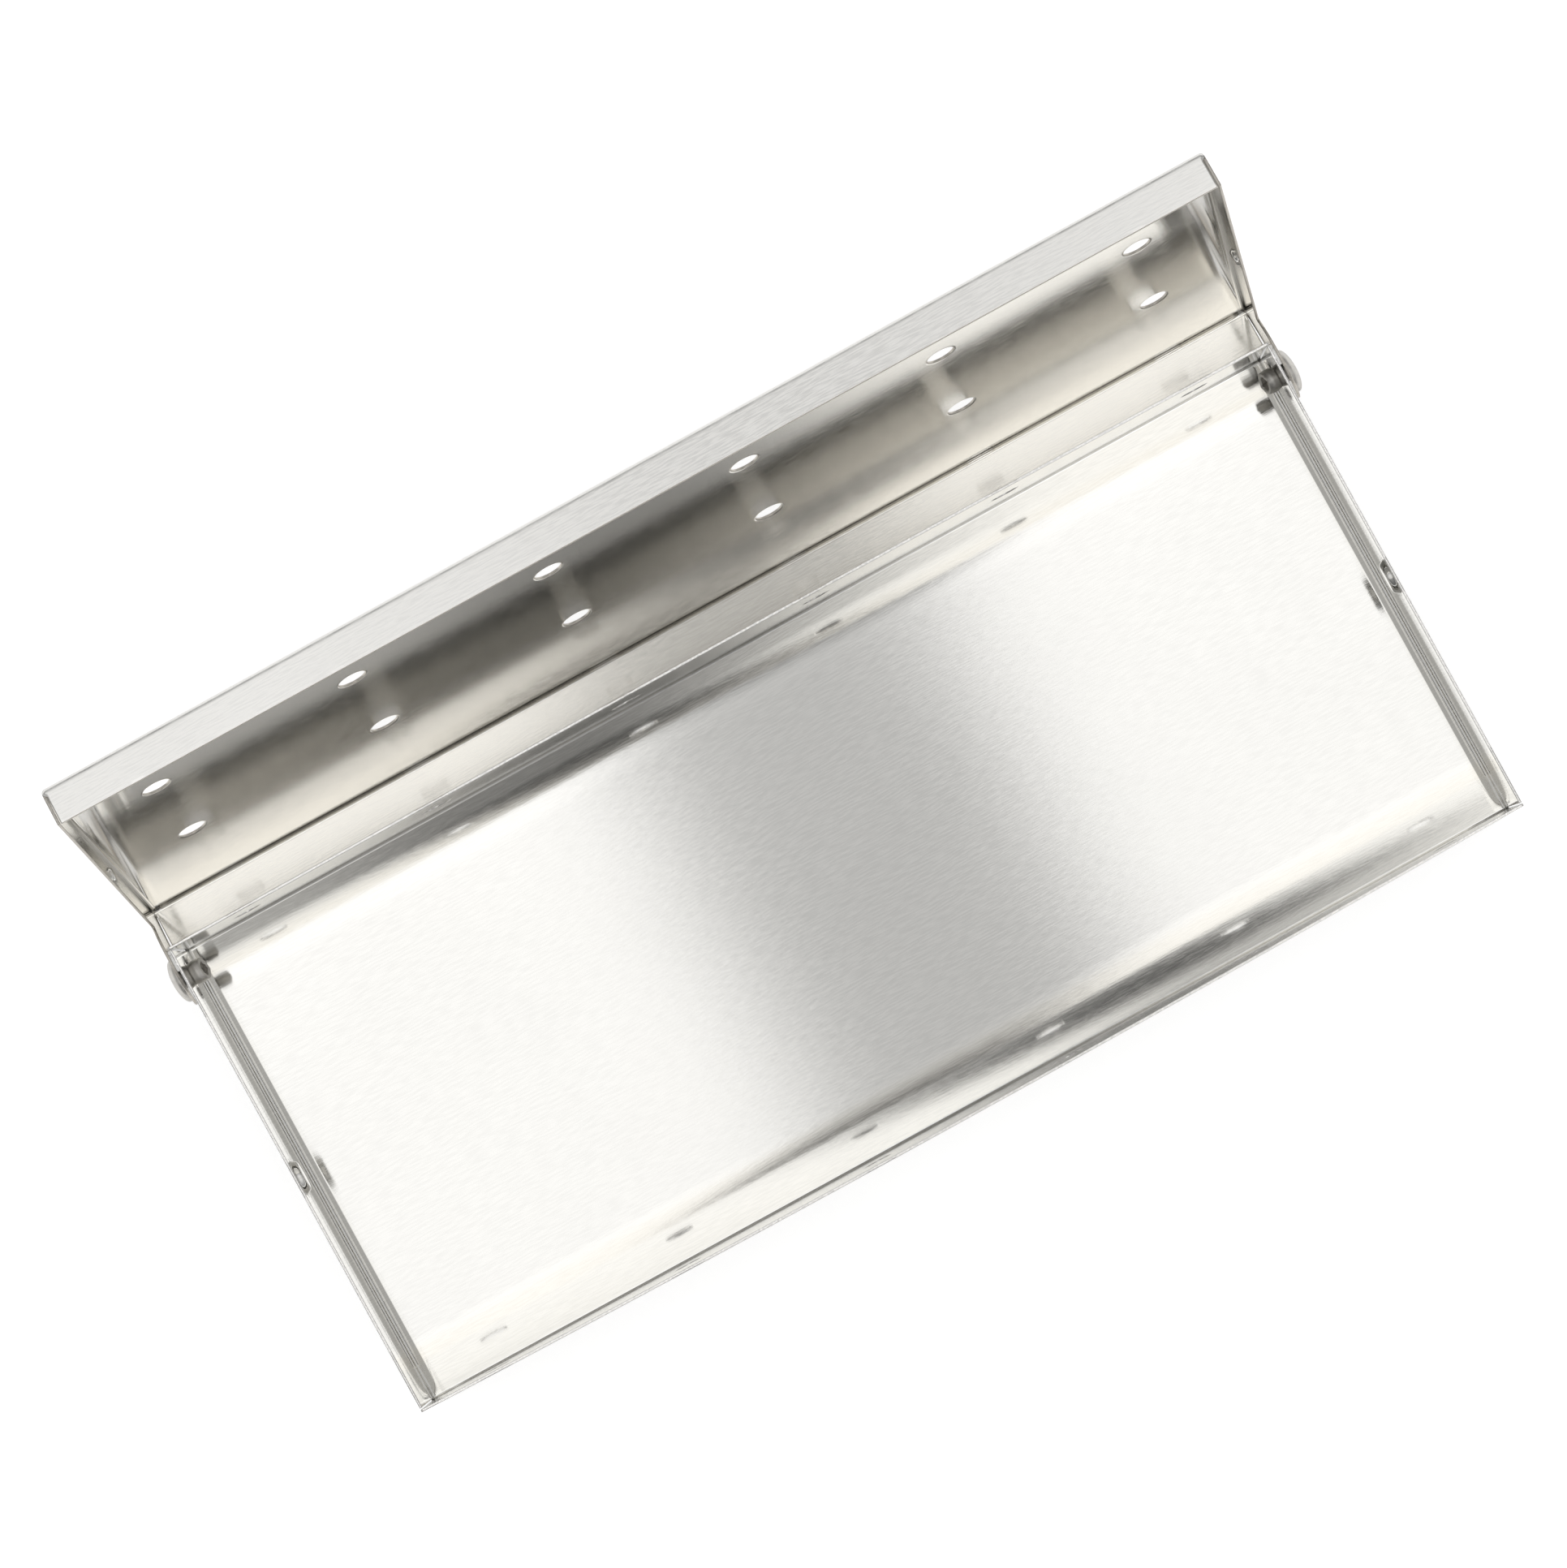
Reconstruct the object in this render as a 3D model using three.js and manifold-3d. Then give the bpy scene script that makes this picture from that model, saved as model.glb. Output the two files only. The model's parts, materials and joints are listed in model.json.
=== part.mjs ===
// Grill smoker box: a folded sheet tray with a folded lid that turns on two blind rivets.
// Millimetres, +Z up, front at -Y, hinge at +Y. The origin is the middle of the tray floor's underside.

import * as THREE from 'three';
import { mergeVertices } from 'three/addons/utils/BufferGeometryUtils.js';
import Module from 'manifold-3d';

const wasm = await Module();
wasm.setup();

// Tray sizes
const trayLength = 210;
const trayDepth = 88.5;
const trayHeight = 36;
const sheetThickness = 0.5;
const floorBendRadius = 0.5;
const frontWallBow = 1.0;
const backWallBow = 0.3;
const cornerSlitWidth = 0.25;

// Hinge line, measured from the back of the tray and from its rim
const pivotInset = 5.4;
const pivotBelowRim = 13.2;

// Lid sizes
const lidFoldRadius = 0.5;
const lipHeight = 6.8;
const lidOpenAngle = THREE.MathUtils.degToRad(103.4);
const earRadius = 8;
const earCentreAbovePivot = 2.9;
const seamWidth = 0.15;

// Fits between the lid and the tray
const endGap = 0.7;
const panelSwingClearance = 0.42;
const lipSwingClearance = 0.15;
const flangeGap = 0.4;
const stopClearance = 0.15;

// Vent holes
const ventRadius = 2.5;
const ventPitch = 36.5;
const ventsPerRow = 6;
const nearRowFromPivot = 25.4;
const farRowFromPivot = 56.7;
const wallVentHeight = 20;

// Blind rivets and the mandrel ends that stay in them
const rivetShankRadius = 1.6;
const rivetHoleClearance = 0.02;
const earHoleClearance = 0.1;
const rivetHeadRadius = 3.9;
const rivetHeadEdge = 0.35;
const rivetHeadHeight = 1.7;
const rivetHeadClearance = 0.1;
const rivetTailUpset = 0.45;
const rivetTailLength = 2.6;
const rivetTailRounding = 0.35;
const rivetWall = 0.6;
const mandrelClearance = 0.1;
const mandrelHeadOverlap = 0.45;
const mandrelHeadLength = 0.6;
const mandrelRecess = 0.5;

// Closing dimples, pressed inwards in the middle of each end wall
const trayDimpleRadius = 3.3;
const trayDimpleFlatRadius = 2.3;
const trayDimpleDepth = 1.1;
const trayDimpleBelowRim = 4.1;
const lidDimpleRadius = 1.6;
const lidDimpleFlatRadius = 1.0;
const lidDimpleDepth = 0.55;
const lidDimpleAboveEdge = 2.0;

// How finely curves are cut, and how far a cutter runs past a face
const bendSegments = 8;
const bowStations = 14;
const ventSegments = 32;
const earSegments = 64;
const rivetSegments = 32;
const domeSegments = 6;
const cutMargin = 3;

// Shares of a size
const halfShare = 0.5;

// Derived places
const halfLength = trayLength * halfShare;
const halfDepth = trayDepth * halfShare;
const pivotY = halfDepth - pivotInset;
const pivotZ = trayHeight - pivotBelowRim;
// The lid's panel passes the back rim with panelSwingClearance to spare as it turns.
const lidInnerHeight = Math.hypot(pivotInset + backWallBow, pivotBelowRim) + panelSwingClearance;
const lidTop = lidInnerHeight + sheetThickness;
const lidHalfLength = halfLength + endGap + sheetThickness;
// The lip's inner edge passes the front rim with lipSwingClearance to spare when the lid shuts.
const rimSwing = Math.hypot(pivotY + halfDepth + frontWallBow, pivotBelowRim);
const lipEdge = lidTop - lipHeight;
const lipInner = Math.sqrt((rimSwing + lipSwingClearance) ** 2 - lipEdge ** 2);
const lipOuter = lipInner + sheetThickness;
const flangeInner = pivotInset + backWallBow + flangeGap;
const flangeOuter = flangeInner + sheetThickness;
const stopReach = pivotInset + (backWallBow * pivotZ) / trayHeight + stopClearance;
const stopEdge = (stopReach - flangeOuter * Math.cos(lidOpenAngle)) / Math.sin(lidOpenAngle);
const rivetHeadSeat = sheetThickness + endGap + sheetThickness + rivetHeadClearance;
const rivetTailRadius = rivetShankRadius + rivetTailUpset;
const rivetBoreRadius = rivetShankRadius - rivetWall;
const mandrelRadius = rivetBoreRadius - mandrelClearance;
const mandrelHeadRadius = rivetBoreRadius + mandrelHeadOverlap;

// Turns a three.js geometry into a solid that can be joined and cut.
function solidOf(geometry) {
  const bare = geometry.clone();
  bare.deleteAttribute('normal');
  bare.deleteAttribute('uv');
  const welded = mergeVertices(bare);
  const vertProperties = Float32Array.from(welded.attributes.position.array);
  const triVerts = Uint32Array.from(welded.index.array);
  return new wasm.Manifold(new wasm.Mesh({ numProp: 3, vertProperties, triVerts }));
}

// Turns a finished solid back into a three.js geometry.
function geometryOf(solid) {
  const mesh = solid.getMesh();
  const stride = mesh.numProp;
  const count = mesh.vertProperties.length / stride;
  const positions = new Float32Array(count * 3);
  for (let n = 0; n < count; n += 1) {
    positions[n * 3] = mesh.vertProperties[n * stride];
    positions[n * 3 + 1] = mesh.vertProperties[n * stride + 1];
    positions[n * 3 + 2] = mesh.vertProperties[n * stride + 2];
  }
  const geometry = new THREE.BufferGeometry();
  geometry.setAttribute('position', new THREE.BufferAttribute(positions, 3));
  geometry.setIndex(Array.from(mesh.triVerts));
  geometry.computeVertexNormals();
  return geometry;
}

// A plain block between two corners.
function blockBetween(low, high) {
  const size = new THREE.Vector3().subVectors(high, low);
  const geometry = new THREE.BoxGeometry(size.x, size.y, size.z);
  const middle = new THREE.Vector3().addVectors(low, high).multiplyScalar(halfShare);
  geometry.translate(middle.x, middle.y, middle.z);
  return solidOf(geometry);
}

// A cone frustum or cylinder along X, from xStart to xEnd.
function roundAlongX(radiusStart, radiusEnd, xStart, xEnd, y, z, segments) {
  const length = Math.abs(xEnd - xStart);
  const flipped = xEnd < xStart;
  const geometry = new THREE.CylinderGeometry(radiusEnd, radiusStart, length, segments);
  geometry.rotateZ(flipped ? Math.PI / 2 : -Math.PI / 2);
  geometry.translate((xStart + xEnd) * halfShare, y, z);
  return solidOf(geometry);
}

// A cylinder along Y between two y values.
function roundAlongY(radius, yLow, yHigh, x, z, segments) {
  const geometry = new THREE.CylinderGeometry(radius, radius, yHigh - yLow, segments);
  geometry.translate(x, (yLow + yHigh) * halfShare, z);
  return solidOf(geometry);
}

// A cylinder along Z between two z values.
function roundAlongZ(radius, zLow, zHigh, x, y, segments) {
  const geometry = new THREE.CylinderGeometry(radius, radius, zHigh - zLow, segments);
  geometry.rotateX(Math.PI / 2);
  geometry.translate(x, y, (zLow + zHigh) * halfShare);
  return solidOf(geometry);
}

// Outline of a box section with two rounded corners on one side, as [across, up] points.
// base is the level of the rounded side and open is the level of the square side.
function roundedSection(low, high, base, open, radius) {
  const up = Math.sign(open - base);
  const points = [[low, open]];
  for (let n = 0; n <= bendSegments; n += 1) {
    const angle = (n / bendSegments) * (Math.PI / 2);
    const across = low + radius - radius * Math.cos(angle);
    points.push([across, base + up * (radius - radius * Math.sin(angle))]);
  }
  for (let n = 0; n <= bendSegments; n += 1) {
    const angle = (1 - n / bendSegments) * (Math.PI / 2);
    const across = high - radius + radius * Math.cos(angle);
    points.push([across, base + up * (radius - radius * Math.sin(angle))]);
  }
  points.push([high, open]);
  return points;
}

// How far a long wall stands out of true at a place, side being -1 for the front and 1 for the back.
function bowAt(x, z, side) {
  const along = 1 - (x / halfLength) ** 2;
  const bow = side < 0 ? frontWallBow : backWallBow;
  return side * bow * Math.max(along, 0) * (z / trayHeight);
}

// A block of one YZ section along X, with its long walls bowed outwards by bowAt.
function bowedBlock(section, xLow, xHigh) {
  const positions = [];
  const ring = section.length;
  for (let s = 0; s <= bowStations; s += 1) {
    const x = xLow + ((xHigh - xLow) * s) / bowStations;
    for (const [y, z] of section) {
      positions.push(x, y + bowAt(x, z, Math.sign(y)), z);
    }
  }
  const indices = [];
  for (let s = 0; s < bowStations; s += 1) {
    for (let n = 0; n < ring; n += 1) {
      const next = (n + 1) % ring;
      const a = s * ring + n;
      const b = s * ring + next;
      indices.push(a, b, a + ring, b, b + ring, a + ring);
    }
  }
  const flat = section.map(([y, z]) => new THREE.Vector2(y, z));
  for (const [a, b, c] of THREE.ShapeUtils.triangulateShape(flat, [])) {
    const last = bowStations * ring;
    indices.push(c, b, a);
    indices.push(last + a, last + b, last + c);
  }
  const geometry = new THREE.BufferGeometry();
  geometry.setAttribute('position', new THREE.Float32BufferAttribute(positions, 3));
  geometry.setIndex(indices);
  return solidOf(geometry);
}

// A block of one XZ section, along Y.
function blockAlongY(section, yLow, yHigh) {
  const shape = new THREE.Shape(section.map(([x, z]) => new THREE.Vector2(x, z)));
  const geometry = new THREE.ExtrudeGeometry(shape, { depth: yHigh - yLow, bevelEnabled: false });
  geometry.rotateX(Math.PI / 2);
  geometry.translate(0, yHigh, 0);
  return solidOf(geometry);
}

// A block of one YZ section, along X.
function blockAlongX(section, xLow, xHigh) {
  const shape = new THREE.Shape(section.map(([y, z]) => new THREE.Vector2(y, z)));
  const geometry = new THREE.ExtrudeGeometry(shape, { depth: xHigh - xLow, bevelEnabled: false });
  geometry.rotateX(Math.PI / 2);
  geometry.rotateZ(Math.PI / 2);
  geometry.translate(xLow, 0, 0);
  return solidOf(geometry);
}

// Presses a flat topped dimple inwards into an end wall and hollows its outside.
function pressDimple(shell, side, wallInner, y, z, radius, flatRadius, depth) {
  const slope = Math.atan2(depth, radius - flatRadius);
  const inset = sheetThickness * Math.tan(slope * halfShare);
  const wallOuter = wallInner + sheetThickness;
  const bump = roundAlongX(
    radius, flatRadius, side * wallInner, side * (wallInner - depth), y, z, ventSegments
  );
  const root = roundAlongX(radius, radius, side * wallOuter, side * wallInner, y, z, ventSegments);
  const hollow = roundAlongX(
    radius - inset, flatRadius - inset, side * wallOuter, side * (wallOuter - depth), y, z, ventSegments
  );
  return shell.add(bump).add(root).subtract(hollow);
}

// The tray: floor, two long walls and two end walls folded from one sheet.
function traySolid() {
  const outerRadius = floorBendRadius + sheetThickness;
  const innerRadius = floorBendRadius;
  const t = sheetThickness;
  const over = trayHeight + cutMargin;
  const reach = halfDepth + frontWallBow + cutMargin;
  const outerLong = roundedSection(-halfDepth, halfDepth, 0, trayHeight, outerRadius);
  const outerEnd = roundedSection(-halfLength, halfLength, 0, trayHeight, outerRadius);
  const innerLong = roundedSection(t - halfDepth, halfDepth - t, t, over, innerRadius);
  const innerEnd = roundedSection(t - halfLength, halfLength - t, t, over, innerRadius);
  const outerAcross = blockAlongY(outerEnd, -reach, reach);
  const innerAcross = blockAlongY(innerEnd, -reach, reach);
  const outer = bowedBlock(outerLong, -halfLength, halfLength).intersect(outerAcross);
  const inner = bowedBlock(innerLong, -halfLength, halfLength).intersect(innerAcross);
  let shell = outer.subtract(inner);
  for (const side of [-1, 1]) {
    shell = pressDimple(
      shell, side, halfLength - t, 0, trayHeight - trayDimpleBelowRim,
      trayDimpleRadius, trayDimpleFlatRadius, trayDimpleDepth
    );
    const rivetHole = roundAlongX(
      rivetShankRadius + rivetHoleClearance, rivetShankRadius + rivetHoleClearance,
      side * (halfLength - t - cutMargin), side * (halfLength + cutMargin), pivotY, pivotZ, rivetSegments
    );
    shell = shell.subtract(rivetHole);
    for (const face of [-1, 1]) {
      shell = shell.subtract(cornerSlit(side, face));
    }
  }
  for (let n = 0; n < ventsPerRow; n += 1) {
    const x = ventPlace(n);
    shell = shell.subtract(roundAlongY(ventRadius, -reach, reach, x, wallVentHeight, ventSegments));
  }
  return shell;
}

// The thin diagonal slit between two neighbouring walls, from the floor bend up to the rim.
function cornerSlit(side, face) {
  const bottom = sheetThickness + floorBendRadius;
  const top = trayHeight + cutMargin;
  const run = (sheetThickness + cutMargin) * 2;
  const geometry = new THREE.BoxGeometry(run, cornerSlitWidth, top - bottom);
  geometry.rotateZ((side * face * Math.PI) / 4);
  geometry.translate(side * halfLength, face * halfDepth, (top + bottom) * halfShare);
  return solidOf(geometry);
}

// Where a vent stands along the length.
function ventPlace(n) {
  return (n - (ventsPerRow - 1) * halfShare) * ventPitch;
}

// The lid, drawn closed around the hinge line: panel, front lip, back flange and two end walls with ears.
function lidSolid() {
  const t = sheetThickness;
  const low = earCentreAbovePivot - earRadius - cutMargin;
  const reach = lipOuter + cutMargin;
  const outerRadius = lidFoldRadius + t;
  const outerLong = roundedSection(-lipOuter, flangeOuter, lidTop, low, outerRadius);
  const outerEnd = roundedSection(-lidHalfLength, lidHalfLength, lidTop, low, outerRadius);
  const innerLow = low - cutMargin;
  const innerHalf = lidHalfLength - t;
  const innerLong = roundedSection(-lipInner, flangeInner, lidInnerHeight, innerLow, lidFoldRadius);
  const innerEnd = roundedSection(-innerHalf, innerHalf, lidInnerHeight, innerLow, lidFoldRadius);
  const outerAlong = blockAlongX(outerLong, -lidHalfLength, lidHalfLength);
  const innerAlong = blockAlongX(innerLong, -lidHalfLength, lidHalfLength);
  const outer = outerAlong.intersect(blockAlongY(outerEnd, -reach, reach));
  const inner = innerAlong.intersect(blockAlongY(innerEnd, -reach, reach));
  let shell = outer.subtract(inner).intersect(lidOutline());
  shell = shell.subtract(flangeTrim(low));
  for (const side of [-1, 1]) {
    shell = shell.subtract(lidSeam(side, -lipOuter - cutMargin, -lipInner + cutMargin, low));
    shell = shell.subtract(lidSeam(side, flangeInner - cutMargin, flangeOuter + cutMargin, low));
    const earHole = roundAlongX(
      rivetShankRadius + earHoleClearance, rivetShankRadius + earHoleClearance,
      side * (innerHalf - cutMargin), side * (lidHalfLength + cutMargin), 0, 0, rivetSegments
    );
    shell = shell.subtract(earHole);
    shell = pressDimple(
      shell, side, innerHalf, -pivotY, lipEdge + lidDimpleAboveEdge,
      lidDimpleRadius, lidDimpleFlatRadius, lidDimpleDepth
    );
  }
  for (let n = 0; n < ventsPerRow; n += 1) {
    for (const row of [nearRowFromPivot, farRowFromPivot]) {
      const vent = roundAlongZ(
        ventRadius, lidInnerHeight - cutMargin, lidTop + cutMargin, ventPlace(n), -row, ventSegments
      );
      shell = shell.subtract(vent);
    }
  }
  return shell;
}

// The side outline that the lid keeps: everything above the lip's edge, and a round ear at the hinge.
function lidOutline() {
  const half = lidHalfLength + cutMargin;
  const earMiddle = flangeOuter - earRadius;
  const upper = blockBetween(
    new THREE.Vector3(-half, -lipOuter - cutMargin, lipEdge),
    new THREE.Vector3(half, flangeOuter + cutMargin, lidTop + cutMargin)
  );
  const lobe = roundAlongX(earRadius, earRadius, -half, half, earMiddle, earCentreAbovePivot, earSegments);
  const back = blockBetween(
    new THREE.Vector3(-half, earMiddle, earCentreAbovePivot),
    new THREE.Vector3(half, flangeOuter + cutMargin, lidTop)
  );
  return upper.add(lobe).add(back);
}

// What is cut away below the back flange, between the ears.
function flangeTrim(low) {
  const half = lidHalfLength - sheetThickness;
  return blockBetween(
    new THREE.Vector3(-half, flangeInner - sheetThickness, low - cutMargin),
    new THREE.Vector3(half, flangeOuter + cutMargin, stopEdge)
  );
}

// The narrow seam between an end wall and the lip or the flange that butts against it.
function lidSeam(side, yLow, yHigh, low) {
  const outer = lidHalfLength - sheetThickness;
  const xs = [side * outer, side * (outer - seamWidth)].sort((a, b) => a - b);
  return blockBetween(
    new THREE.Vector3(xs[0], yLow, low - cutMargin),
    new THREE.Vector3(xs[1], yHigh, lidInnerHeight - lidFoldRadius)
  );
}

// A blind rivet about the hinge line: r is the radius and the second value is measured outwards
// from the inside face of the tray's end wall.
function rivetGeometry(side) {
  const crown = rivetHeadHeight - rivetHeadEdge;
  const points = [
    [rivetBoreRadius, -rivetTailLength],
    [rivetTailRadius - rivetTailRounding, -rivetTailLength],
    [rivetTailRadius, rivetTailRounding - rivetTailLength],
    [rivetTailRadius, -rivetTailRounding],
    [rivetTailRadius - rivetTailRounding, 0],
    [rivetShankRadius, 0],
    [rivetShankRadius, rivetHeadSeat],
    [rivetHeadRadius, rivetHeadSeat],
    [rivetHeadRadius, rivetHeadSeat + rivetHeadEdge],
  ];
  const boreAngle = Math.acos(rivetBoreRadius / rivetHeadRadius);
  for (let n = 1; n <= domeSegments; n += 1) {
    const angle = (n / domeSegments) * boreAngle;
    const level = rivetHeadSeat + rivetHeadEdge + crown * Math.sin(angle);
    points.push([rivetHeadRadius * Math.cos(angle), level]);
  }
  points.push([rivetBoreRadius, -rivetTailLength]);
  return latheAtHinge(points, side);
}

// The broken end of the setting mandrel, left inside the rivet.
function mandrelGeometry(side) {
  const back = -rivetTailLength;
  const tip = back - mandrelHeadLength;
  const points = [
    [0, tip],
    [mandrelHeadRadius, tip],
    [mandrelHeadRadius, back],
    [mandrelRadius, back],
    [mandrelRadius, rivetHeadSeat + mandrelRecess],
    [0, rivetHeadSeat + mandrelRecess],
  ];
  return latheAtHinge(points, side);
}

// Turns a profile about the hinge line at one end of the tray.
function latheAtHinge(points, side) {
  const profile = points.map(([r, out]) => new THREE.Vector2(r, out));
  const geometry = new THREE.LatheGeometry(profile, rivetSegments);
  geometry.rotateZ((-side * Math.PI) / 2);
  geometry.translate(side * (halfLength - sheetThickness), pivotY, pivotZ);
  return geometryOf(solidOf(geometry));
}

// Materials
const brushedSteel = new THREE.MeshStandardMaterial({ color: 0xc9c8c4, metalness: 1, roughness: 0.35 });
const lidSteel = new THREE.MeshStandardMaterial({ color: 0xc4c3bf, metalness: 1, roughness: 0.38 });
const rivetMetal = new THREE.MeshStandardMaterial({ color: 0xa9a9a6, metalness: 1, roughness: 0.45 });
const mandrelSteel = new THREE.MeshStandardMaterial({ color: 0x6f6c68, metalness: 1, roughness: 0.6 });

// Adds one named piece to the group.
function addPiece(parent, name, geometry, material) {
  const mesh = new THREE.Mesh(geometry, material.clone());
  mesh.name = name;
  parent.add(mesh);
  return mesh;
}

const smokerBox = new THREE.Group();
smokerBox.name = 'grill_smoker_box';

addPiece(smokerBox, 'tray', geometryOf(traySolid()), brushedSteel);

// The lid is drawn closed and then turned back to its open stop.
const lid = addPiece(smokerBox, 'lid', geometryOf(lidSolid()), lidSteel);
lid.rotation.x = -lidOpenAngle;
lid.position.set(0, pivotY, pivotZ);

for (const [label, side] of [['left', -1], ['right', 1]]) {
  addPiece(smokerBox, `rivet_${label}`, rivetGeometry(side), rivetMetal);
  addPiece(smokerBox, `mandrel_${label}`, mandrelGeometry(side), mandrelSteel);
}

export default smokerBox;
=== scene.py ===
"""Looks of the grill smoker box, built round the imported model.

Sizes are in millimetres and angles in degrees. Meshes are turned into metres when they are made.
"""

import json
import math

import bmesh
import bpy
from mathutils import Matrix, Vector


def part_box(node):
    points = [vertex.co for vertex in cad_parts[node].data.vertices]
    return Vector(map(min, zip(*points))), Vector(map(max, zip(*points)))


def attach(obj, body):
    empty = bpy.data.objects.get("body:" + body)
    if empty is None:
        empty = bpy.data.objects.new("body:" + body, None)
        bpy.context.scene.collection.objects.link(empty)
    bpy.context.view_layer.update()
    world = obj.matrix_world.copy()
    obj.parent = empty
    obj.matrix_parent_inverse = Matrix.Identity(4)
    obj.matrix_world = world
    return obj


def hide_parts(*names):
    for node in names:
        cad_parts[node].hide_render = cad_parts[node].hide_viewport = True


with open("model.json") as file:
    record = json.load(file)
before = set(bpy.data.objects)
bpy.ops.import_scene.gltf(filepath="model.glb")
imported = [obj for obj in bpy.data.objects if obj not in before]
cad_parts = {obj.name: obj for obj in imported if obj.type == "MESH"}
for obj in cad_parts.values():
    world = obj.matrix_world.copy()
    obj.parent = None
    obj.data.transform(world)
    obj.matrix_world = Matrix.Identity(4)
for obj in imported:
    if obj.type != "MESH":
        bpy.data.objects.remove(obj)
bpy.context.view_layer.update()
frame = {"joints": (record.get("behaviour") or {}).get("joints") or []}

MM = 0.001
HINGE = frame["joints"][0]
TRAY_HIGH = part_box("tray")[1] / MM
LID_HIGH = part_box("lid")[1] / MM

# The folded sheets
SHEET = 0.5
EDGE_ROUND = 0.09
EDGE_SHOULDER = 0.29
FRONT_BOW = 1.0
FRONT_BOW_LOW = 0.25
BACK_BOW = 0.3
BOW_REACH = 10.0
FOLD_RADIUS = 0.5
LID_FOLD_RADIUS = 0.8
FOLD_RUN = 1.5
CORNER_GAP = 0.2
LID_OPEN = 103.4
LIP_HEIGHT = 6.8
SEAM = 0.15
SEAM_START = 0.5
PANEL_SWING = 0.42
LIP_SWING = 0.15
FLANGE_GAP = 0.4
STOP_GAP = 0.15
FLANGE_SPRING = 3.5
EAR_RADIUS = 8.0
EAR_ABOVE_PIVOT = 2.9

# The floor rises from its folds. slope is its rise over run at the fold, reach is how far in it goes on
# rising, and power is how early it levels off. An end wall's lines are level LEVEL_ABOVE_FOLD over its fold
FRONT_SAG = {"slope": 0.215, "reach": 11.5, "power": 1.0}
BACK_SAG = {"slope": 0.203, "reach": 9.8, "power": 1.5}
END_SAG = {"slope": 0.8, "reach": 1.2, "power": 1.0}
LEVEL_ABOVE_FOLD = 4

# Vents
VENT_RADIUS = 2.5
VENT_RING = 0.4
VENT_CELL = 3.5
VENT_PITCH = 36.5
VENTS = 6
WALL_VENT_HEIGHT = 20.0
LID_VENT_ROWS = (-56.7, -25.4)

# Closing dimples. One is drawn by rings, a ring step apart from its edge in, and by the middle radii
TRAY_DIMPLE = {
    "radius": 3.3, "flat": 2.3, "depth": 1.1, "cell": 3.8,
    "ring": 0.1, "rings": 13, "middle": [1.2, 0.4],
}
TRAY_DIMPLE_BELOW_RIM = 4.1
LID_DIMPLE = {
    "radius": 1.6, "flat": 1.0, "depth": 0.55, "cell": 1.9,
    "ring": 0.075, "rings": 9, "middle": [0.5],
}
LID_DIMPLE_ABOVE_EDGE = 2.0

# Rivets. The tail mouth's points are (radius past the bore's, way out from the tail's end)
SHANK_RADIUS = 1.6
TRAY_HOLE_RADIUS = 1.62
EAR_HOLE_RADIUS = 1.7
EAR_HOLE_RING = 2.6
HOLE_CELL = 2.4
HEAD_RADIUS = 3.9
HEAD_EDGE = 0.35
HEAD_HEIGHT = 1.7
HEAD_SEAT = 1.8
HEAD_BEVEL = 0.12
BORE_RADIUS = 1.0
BORE_FLARE = 0.1
BORE_BEVEL = 0.12
TAIL_MIDDLE = 2.575
TAIL_SLANT = 0.305
TAIL_SLANT_FROM = -0.6
TAIL_WAIST = 1.82
TAIL_EDGE = 2.02
TAIL_SWELL = 0.2
TAIL_LIP = 0.26
TAIL_ROUGH = 0.05
TAIL_MOUTH = ((0.15, 0.5), (0.25, 0.12), (0.42, 0))

# Mandrel ends. The torn head's points are (radius, way out from its innermost point)
MANDREL_RADIUS = 0.9
MANDREL_RECESS = 0.5
MANDREL_INSET = 0.1
MANDREL_NECK = 0.5
MANDREL_BEVEL = 0.12
MANDREL_EDGE_DROP = 0.1
MANDREL_MIDDLE_DROP = 0.08
MANDREL_ROUGH = 0.09
TORN_HEAD = ((0, 0.25), (0.45, 0.12), (0.8, 0.2), (1.08, 0), (1.14, 0.2))

# Ripples round a squeezed tail or a torn head, as three waves of which the last two are weaker
WAVES = (3, 7, 11)
WAVE_TURN = 1.3
SECOND_WAVE = 0.6
THIRD_WAVE = 0.4

# How finely shapes are cut
STEP = 4.5
FLAP_STEP = 0.8
CELL_LINES = 4
BEND_STEPS = 14
BENDS = [n / BEND_STEPS - 1 for n in range(BEND_STEPS)]
EXTENSION = (1 / 3, 2 / 3, 1)
WALL_LINES = (0.5, 1, 2.5)
END_LINES = (0.15, 0.3, 0.5, 0.7, 0.95, 1.2, 1.5, 3.0, 5.0)
FLOOR_LINE = 0.7
FLOOR_FRONT_LINES = 15
FLOOR_BACK_LINES = 8
EAR_LINE = 3
EAR_LINES = 4
EAR_STEP = 1.2
EAR_ARC_STEPS = 54
ROUND_STEPS = 64
TAIL_LIP_STEPS = 4
TAIL_STEPS = 8
CROWN_STEPS = 14

# How the sheet is welded, thickened and laid flat. The two sharpest values are the limits of a mitre, and
# under CLOSED_RIM the edges round a rim point cancel out, so it isn't drawn back
NOTHING = 1e-6
WELD = 0.004
TURNED_WELD = 0.0005
SHARPEST_FOLD = 0.7
SHARPEST_RIM = 0.62
CLOSED_RIM = 0.2
CUT_SLOT = 2
BLANK_UNIT = 100
EVEN_WEIGHT = 90

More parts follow.
